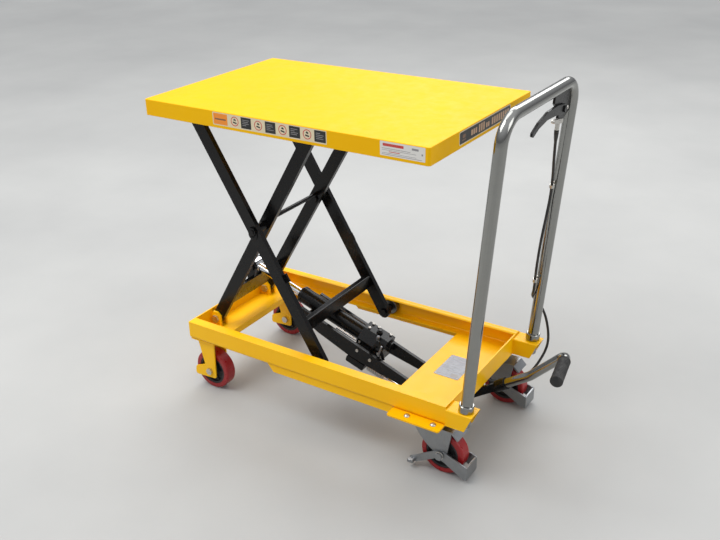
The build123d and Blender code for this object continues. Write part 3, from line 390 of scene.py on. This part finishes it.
def lathe_mesh(profile, sides=40, start=0):
    """Rings of a profile of (radius, height) turned about local z, with closed ends."""
    vertices, faces = [], []
    for radius, height in profile:
        for i in range(sides):
            turn = 2 * math.pi * i / sides
            vertices.append((radius * math.cos(turn), radius * math.sin(turn), height))
    for ring in range(len(profile) - 1):
        for i in range(sides):
            j = (i + 1) % sides
            a, b = start + ring * sides, start + (ring + 1) * sides
            faces.append((a + i, a + j, b + j, b + i))
    faces.append(tuple(start + i for i in reversed(range(sides))))
    last = start + (len(profile) - 1) * sides
    faces.append(tuple(last + i for i in range(sides)))
    return vertices, faces


def ring_mesh(inner, outer, low, high, sides=40, start=0, soft=0.4):
    """A washer or ring with eased edges."""
    profile = [(inner, low), (inner, high), (outer - soft, high)]
    profile += [(outer, high - soft), (outer, low + soft), (outer - soft, low)]
    vertices, faces = [], []
    count = len(profile)
    for i in range(sides):
        turn = 2 * math.pi * i / sides
        vertices += [(r * math.cos(turn), r * math.sin(turn), h) for r, h in profile]
    for i in range(sides):
        j = (i + 1) % sides
        for k in range(count):
            m = (k + 1) % count
            here, after = start + i * count, start + j * count
            faces.append((here + k, here + m, after + m, after + k))
    return vertices, faces


def prism_mesh(outline, low, high, start=0):
    """A flat outline in local x, y, thick from low to high."""
    count = len(outline)
    vertices = [(x, y, low) for x, y in outline] + [(x, y, high) for x, y in outline]
    faces = [tuple(start + i for i in reversed(range(count))), tuple(start + count + i for i in range(count))]
    for i in range(count):
        j = (i + 1) % count
        faces.append((start + i, start + j, start + count + j, start + count + i))
    return vertices, faces


def rounded(x_low, y_low, x_high, y_high, radius=0.0, steps=5):
    """Outline of a rectangle with round corners."""
    if not radius:
        return [(x_low, y_low), (x_high, y_low), (x_high, y_high), (x_low, y_high)]
    outline = []
    corners = ((x_high - radius, y_high - radius, 0), (x_low + radius, y_high - radius, 90),
               (x_low + radius, y_low + radius, 180), (x_high - radius, y_low + radius, 270))
    for x, y, first in corners:
        for step in range(steps + 1):
            turn = math.radians(first + 90 * step / steps)
            outline.append((x + radius * math.cos(turn), y + radius * math.sin(turn)))
    return outline


def join(parts):
    """One vertex and face list from several."""
    vertices, faces = [], []
    for part_vertices, part_faces in parts:
        base = len(vertices)
        vertices += part_vertices
        faces += [tuple(base + i for i in face) for face in part_faces]
    return vertices, faces


def moved(mesh, x=0.0, y=0.0, z=0.0, turn=0.0):
    vertices, faces = mesh
    c, s = math.cos(turn), math.sin(turn)
    return [(x + c * a - s * b, y + s * a + c * b, z + h) for a, b, h in vertices], faces


def tube_mesh(points, radius, sides=12, closed=False, radius_at=None):
    """A round tube through points, kept from twisting."""
    points = [Vector(p) for p in points]
    count = len(points)
    vertices, faces = [], []
    side = None
    for i, point in enumerate(points):
        before = points[i - 1] if i or closed else point
        after = points[(i + 1) % count] if i < count - 1 or closed else point
        way = (after - before).normalized()
        if side is None:
            side = way.orthogonal().normalized()
        side = (side - way * side.dot(way)).normalized()
        other = way.cross(side)
        r = radius_at(i) if radius_at else radius
        for k in range(sides):
            turn = 2 * math.pi * k / sides
            vertices.append(tuple(point + side * (r * math.cos(turn)) + other * (r * math.sin(turn))))
    rings = count if closed else count - 1
    for i in range(rings):
        for k in range(sides):
            m = (k + 1) % sides
            a, b = i * sides, ((i + 1) % count) * sides
            faces.append((a + k, a + m, b + m, b + k))
    if not closed:
        faces.append(tuple(reversed(range(sides))))
        faces.append(tuple((count - 1) * sides + k for k in range(sides)))
    return vertices, faces


# ---- labels: generic blocks and bars, no lettering ------------------------------------------
side_face = basis((DECK_X, -DECK_HALF_Y, 0), (1, 0, 0), (0, -1, 0))
rear_face = basis((DECK_X + DECK_HALF_X, 0, 0), (0, 1, 0), (1, 0, 0))


def label(name, shapes, at, low, high, slot, material):
    """Several flat shapes of one colour as one thin film."""
    vertices, faces = join([prism_mesh(outline, low, high) for outline in shapes])
    return piece(name, vertices, faces, at, "platform", slot, material)


strip = (-157.0, 710.8, 127.2, 738.0)
label("strip_film", [rounded(*strip, 2.0)], side_face, 0.0, 0.12, "deck_paint", "film_cream")
label("strip_orange", [rounded(-154.8, 713.0, -118.0, 736.0, 1.0)], side_face, 0.1, 0.2,
      "deck_paint", "film_orange")
cells = [(-82.3, -56.2), (-20.5, 5.4), (38.7, 65.1), (98.9, 125.4)]
label("strip_black", [rounded(a, 713.4, b, 736.4, 0.8) for a, b in cells], side_face, 0.1, 0.2,
      "cable_black", "film_black")
bars = []
for index, (a, b) in enumerate(cells):
    for row in range(4):
        length = (b - a - 9) * (1.0, 0.86, 0.94, 0.55)[(row + index) % 4]
        bars.append(rounded(a + 4, 730.2 - 3.6 * row, a + 4 + length, 731.4 - 3.6 * row))
label("strip_bars", bars, side_face, 0.18, 0.26, "deck_paint", "film_grey")
label("strip_orange_bar", [rounded(-151.0, 722.6, -122.0, 725.6, 0.5)], side_face, 0.18, 0.26,
      "cable_black", "film_brown")
rings, marks = [], []
for x in (-98.6, -38.0, 22.6, 81.8):
    rings.append(moved(ring_mesh(8.3, 10.0, 0.1, 0.22, 40, soft=0.02), x, 724.8))
    marks.append([(x - 5, 721.6), (x + 4.6, 719.6), (x + 5, 722.6), (x - 4.2, 724.6)])
    marks.append([(x - 3.4, 727.4), (x + 2.6, 725.6), (x + 3.4, 728.6), (x - 1.0, 731.0)])
ring_vertices, ring_faces = join(rings)
piece("strip_rings", ring_vertices, ring_faces, side_face, "platform", "deck_paint", "film_red")
label("strip_marks", marks, side_face, 0.1, 0.18, "cable_black", "film_black")

label("corner_film", [rounded(246.0, 710.8, 340.6, 738.2, 1.2)], side_face, 0.0, 0.12,
      "deck_paint", "film_white")
label("corner_red", [rounded(252, 729.4, 296, 734.6, 1.0), rounded(265, 718.8, 288, 720.0)], side_face,
      0.1, 0.2, "deck_paint", "film_red")
lines = [rounded(250, 724.6, 310, 725.5), rounded(250, 721.8, 322, 722.5), rounded(250, 716.0, 322, 716.7),
         rounded(250, 713.2, 334, 714.0), rounded(313, 729.5, 327, 733.5, 0.5),
         rounded(333, 722.0, 336, 725.5)]
label("corner_lines", lines, side_face, 0.1, 0.18, "cable_black", "film_grey")

label("end_border", [rounded(-111.5, 710.8, 118.0, 737.6, 4.5)], rear_face, 0.0, 0.12,
      "deck_paint", "film_cream")
label("end_black", [rounded(-109.6, 712.7, 116.1, 735.7, 3.4)], rear_face, 0.1, 0.2,
      "cable_black", "film_black")
bars = [rounded(-62 + 9.2 * k, 718.5, -55.5 + 9.2 * k, 729.5, 0.8) for k in range(3)]
bars += [rounded(-29 + 9.6 * k, 716.0, -23 + 9.6 * k, 732.0, 0.8) for k in range(3)]
bars += [rounded(3 + 8.6 * k, 717.5, 9.2 + 8.6 * k, 727.0, 0.8) for k in range(2)]
bars += [rounded(29 + 10.4 * k, 716.5, 36 + 10.4 * k, 731.0, 0.8) for k in range(8)]
label("end_bars", bars, rear_face, 0.18, 0.28, "deck_paint", "film_tan")
label("end_marks", [rounded(-100, 717.5, -84, 720.0, 0.6), rounded(-98, 722.5, -86, 729.5, 2.5)], rear_face,
      0.18, 0.26, "cable_black", "film_brown")

# ---- data plate on the rear cover ---------------------------------------------------------------
cover_low, cover_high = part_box("cover_plate")
on_cover = basis((DECK_X, 0, cover_high[2] / MM), (1, 0, 0), (0, 0, 1))
vertices, faces = prism_mesh(rounded(258.0, -28.0, 319.0, 64.0, 2.5), 0.0, 0.5)
piece("data_plate", vertices, faces, on_cover, "base", "caster_zinc", "plate_silver", bevel=0.15)
rows = [prism_mesh(rounded(263, 54 - 0.5 - 9 * k, 314 - 12 * (k % 3), 54 + 1.1 - 9 * k), 0.45, 0.62)
        for k in range(9)]
rows.append(prism_mesh(rounded(296, -22, 314, -8, 1.0), 0.45, 0.6))
vertices, faces = join(rows)
piece("data_plate_lines", vertices, faces, on_cover, "base", "cable_black", "film_grey")
rivet = [(2.4, 0.4), (2.3, 0.9), (1.6, 1.5), (0.6, 1.75), (0.02, 1.8)]
for index, (x, y) in enumerate(((261.5, -24.5), (315.5, -24.5), (261.5, 60.5), (315.5, 60.5))):
    vertices, faces = moved(lathe_mesh(rivet, 20), x, y)
    piece(f"data_plate_rivet_{index}", vertices, faces, on_cover, "base", "bolt_zinc")

# ---- hydraulic unit ---------------------------------------------------------------------------------
HEX_SIDES = 6
BAR_FACE = 45.0


def hex_screw(name, at, body, radius, height, slot="bolt_zinc", flange=1.25):
    """Hexagon head on a washer."""
    profile = [(radius, 1.4), (radius, height - 1.2), (radius - 0.9, height), (radius * 0.5, height + 0.1)]
    head = moved(lathe_mesh(profile, HEX_SIDES), turn=0.3)
    vertices, faces = join([ring_mesh(radius * 0.5, radius * flange, 0, 1.4, 32), head])
    return piece(name, vertices, faces, at, body, slot, bevel=0.25)


def socket_screw(name, at, body, radius=3.2, height=3.6, slot="bolt_zinc"):
    """Cap screw with a hexagon socket."""
    profile = [(radius, 0), (radius, height - 0.5), (radius - 0.5, height)]
    profile += [(radius * 0.55, height), (radius * 0.5, height - 1.6)]
    vertices, faces = lathe_mesh(profile, 24)
    return piece(name, vertices, faces, at, body, slot)


for index, (u, y) in enumerate(((346, -2), (346, 16), (362, 16), (396, 16))):
    socket_screw(f"block_screw_{index}", unit_basis(u, 24.8 + 0.07 * y, y, "v"), "pump_unit")
for index, (u, v) in enumerate(((344, -2), (397, -2))):
    socket_screw(f"block_side_screw_{index}", unit_basis(u, v - 3, -28, "y"), "pump_unit")
for index, (u, v) in enumerate(((352, -16), (390, -20))):
    socket_screw(f"bar_screw_{index}", unit_basis(u, v, -BAR_FACE, "y"), "pump_unit", 4.0, 3.4)
    far_side = basis(unit_basis(u, v, BAR_FACE).translation / MM, (1, 0, 0), (0, 1, 0))
    socket_screw(f"bar_far_screw_{index}", far_side, "pump_unit", 4.0, 3.4)
plug = [(7.5, 0), (7.5, 4.5), (6.8, 5.4), (5.0, 5.5), (5.0, 8.0), (4.2, 8.8), (0.05, 8.9)]
vertices, faces = lathe_mesh(plug, 32)
piece("block_plug", vertices, faces, unit_basis(372, 24.5, 4, "v"), "pump_unit", "black_paint", bevel=0.3)

# bent lever of the pump valve over the block's sloped face, with its bare metal knob and pin
outline = [(387, 31), (392, 31), (419, -8), (414, -12), (389, 22), (375, -27), (369, -24)]
vertices, faces = prism_mesh(outline, -1.5, 1.5)
piece("valve_plate", vertices, faces, unit_basis(0, 0, -31.2, "y"), "pump_unit", "black_paint", bevel=0.5)
knob = [(2.4, 0), (2.4, 3.0), (3.6, 4.0), (4.2, 6.0), (4.2, 11.0), (3.6, 13.0), (2.2, 14.2), (0.05, 14.6)]
vertices, faces = lathe_mesh(knob, 32)
knob_at = unit_basis(380, 18, -17, "v")
piece("valve_knob", vertices, faces, knob_at, "pump_unit", "handle_chrome", "plate_silver")
pin = [(2.8, 0), (2.8, 1.0), (2.3, 1.6), (2.3, 26.0), (2.8, 26.6), (2.8, 29.0), (2.0, 30.0), (0.05, 30.2)]
vertices, faces = lathe_mesh(pin, 28)
pin_at = unit_basis(402, -5, -34.6, "v")
piece("valve_pin", vertices, faces, pin_at, "pump_unit", "rod_chrome", "plate_silver")
stop_rod = [(3.4, 0), (3.4, 46), (3.0, 47), (3.0, 55), (2.2, 57), (0.05, 57.4)]
vertices, faces = lathe_mesh(stop_rod, 28)
piece("guide_rod", vertices, faces, unit_basis(278, -4, -31, "u"), "pump_unit", "rod_chrome")

# return spring: a coil of fixed length, riding on the pump unit
turns, wire, coil_radius = 9, 1.15, 7.4
spring_start = unit_basis(384.5, -53, -31, "u")
length = 51.0
steps = turns * 28
coil = []
for i in range(steps + 1):
    part = i / steps
    turn = 2 * math.pi * turns * part
    rise = wire + (length - 2 * wire) * part
    coil.append((coil_radius * math.cos(turn), coil_radius * math.sin(turn), rise))
vertices, faces = tube_mesh(coil, wire, 10)
spring = piece("spring_coil", vertices, faces, spring_start, "pump_unit", "spring_steel", smooth_angle=60)
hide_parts("return_spring")
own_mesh(spring)

# ---- pedal grip: ribbed rubber sleeve ---------------------------------------------------------------
grip_corner = Vector((DECK_X + 545, 22, 251))
grip_end = Vector((DECK_X + 565, -86, 252))
grip_way = (grip_end - grip_corner).normalized()
grip_at = basis(grip_end - grip_way * 82, (0, 0, 1), grip_way)
profile = [(10.6, 0), (12.6, 0.2), (13.2, 1.2), (13.2, 4.0)]
for k in range(14):
    base = 5.0 + 5.3 * k
    profile += [(12.2, base), (12.2, base + 1.5), (13.0, base + 2.2), (13.0, base + 4.5)]
profile += [(12.2, 79.5), (13.2, 80.5), (13.2, 84.0), (12.2, 85.6), (10.4, 86.0), (0.05, 86.0)]
vertices, faces = lathe_mesh(profile, 48)
grip = piece("pedal_grip", vertices, faces, grip_at, "pedal", "grip_rubber", smooth_angle=30)
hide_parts("pedal_sleeve")

# ---- release cable: one smooth curve from the lever down to the valve --------------------------------
def on_handle(y, up, out):
    return handle_basis(y, up, out).translation / MM


CABLE_RADIUS = 3.0
on_leg = [(90, 518, 6), (99, 487, 4.5), (113, 450, 2), (137, 403, -2.5), (152, 352, -5.5),
          (145, 296, -6), (137, 248, -6), (136.5, 178, -6), (150, 122, -8)]
route = [on_handle(*point) for point in on_leg]
route += [Vector((DECK_X + x, y, z)) for x, y, z in (
    (402, 170, 285), (402, 200, 262), (418, 216, 228), (433, 211, 183), (437, 202, 147), (425, 182, 109),
    (414, 150, 90), (396, 106, 93), (376, 64, 102), (351, 44.5, 117))]
cable_line = bpy.data.curves.new("cable", "CURVE")
cable_line.dimensions = "3D"
cable_line.bevel_depth = CABLE_RADIUS * MM
cable_line.bevel_resolution = 6
cable_line.use_fill_caps = True
spline = cable_line.splines.new("NURBS")
spline.points.add(len(route) - 1)
for control, point in zip(spline.points, route):
    control.co = (*(point * MM), 1)
spline.order_u = 3
spline.use_endpoint_u = True
spline.resolution_u = 12
cable_line.materials.append(look["cable_black"])
cable = bpy.data.objects.new("cable", cable_line)
bpy.context.collection.objects.link(cable)
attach(cable, "base")
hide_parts("release_cable")

# ---- rubber boot on the cable and the rivet of the lever bracket --------------------------------------
boot_way = on_handle(99, 487, 4.5) - on_handle(90, 518, 6)
boot_at = basis(on_handle(90, 518, 6), (1, 0, 0), boot_way)
profile = [(3.6, 0), (5.0, 0.4), (5.0, 3.0)]
for k in range(4):
    base, rib_radius = 3.8 + 3.6 * k, 4.9 - 0.2 * k
    profile += [(4.2, base), (4.2, base + 1.0), (rib_radius, base + 1.8), (rib_radius, base + 2.8)]
profile += [(3.9, 19.0), (3.6, 24.0), (3.2, 26.0), (0.05, 26.2)]
vertices, faces = lathe_mesh(profile, 32)
piece("cable_boot", vertices, faces, boot_at, "base", "cable_black", smooth_angle=50)
rivet = [(4.6, 0), (4.6, 0.8), (3.6, 2.0), (2.0, 2.7), (0.05, 2.9)]
vertices, faces = lathe_mesh(rivet, 24)
piece("leg_rivet", vertices, faces, handle_basis(142, 552, 2.4, "out"), "base", "bolt_zinc")

# ---- casters, wheels and axles ----------------------------------------------------------------------
for side, word in ((-1, "left"), (1, "right")):
    for place, x, body, hub_half in (("front", DECK_X - 284.5, f"{word}_front_wheel", 18.6),
                                     ("rear", DECK_X + 357.0, f"{word}_rear_wheel", 17.4)):
        for face in (-1, 1):
            at = basis((x, side * 154, 50), (1, 0, 0), (0, face, 0))
            vertices, faces = join([ring_mesh(13.0, 15.5, 8.0, 14.5, 40), ring_mesh(24.0, 26.0, 8.0, 9.2, 48),
                                    ring_mesh(5.4, 12.4, hub_half - 0.2, hub_half + 0.15, 32, soft=0.05)])
            letter = "a" if face < 0 else "b"
            piece(f"{word}_{place}_hub_ring_{letter}", vertices, faces, at, body, "hub_black")
            ribs = []
            for k in range(6):
                rib = prism_mesh([(15, -1.4), (30.5, -1.1), (30.5, 1.1), (15, 1.4)], 7.9, 12.0)
                ribs.append(moved(rib, turn=k * math.pi / 3))
            vertices, faces = join(ribs)
            piece(f"{word}_{place}_hub_ribs_{letter}", vertices, faces, at, body, "hub_black", bevel=0.3)
    swivel_at = basis((DECK_X + 318, side * 154, 119.3), (1, 0, 0), (0, 0, 1))
    vertices, faces = ring_mesh(24.2, 25.4, -1.8, 0.0, 48)
    piece(f"{word}_dust_ring", vertices, faces, swivel_at, f"{word}_caster", "hub_black")
    for face in (-1, 1):
        letter = "a" if face < 0 else "b"
        at = basis((DECK_X + 357, side * 154 + face * 26.6, 50), (1, 0, 0), (0, face, 0))
        hex_screw(f"{word}_fork_nut_{letter}", at, f"{word}_caster", 7.6, 3.4)
    for index, (x, y) in enumerate(((-36, -27), (36, -27), (-36, 27), (36, 27))):
        at = basis((DECK_X + 318 + x, side * 154 + y, 127), (1, 0, 0), (0, 0, -1))
        hex_screw(f"{word}_plate_screw_{index}", at, "base", 5.2, 4.6)

# ---- washers ------------------------------------------------------------------------------------------
arm_low = (DECK_X - 312, 157.5)
arm_rise = math.asin(556.5 / 648.0)
roller_x = DECK_X - 302.5 + 648 * math.cos(arm_rise)
centre = ((arm_low[0] + roller_x) / 2, 157.5 + 556.5 / 2)
for side, word in ((-1, "left"), (1, "right")):
    for name, x, z, y, body, slot in (
            ("centre_washer", centre[0], centre[1], 144.3, "inner_arms", "bolt_zinc"),
            ("roller_washer", roller_x, 157.5, 144.0, "outer_arms", "bolt_zinc")):
        vertices, faces = ring_mesh(9.2 if name == "roller_washer" else 6.0, 12.5, 0, 1.6, 36)
        at = basis((x, side * y, z), (1, 0, 0), (0, side, 0))
        piece(f"{word}_{name}", vertices, faces, at, body, slot, "black_paint")
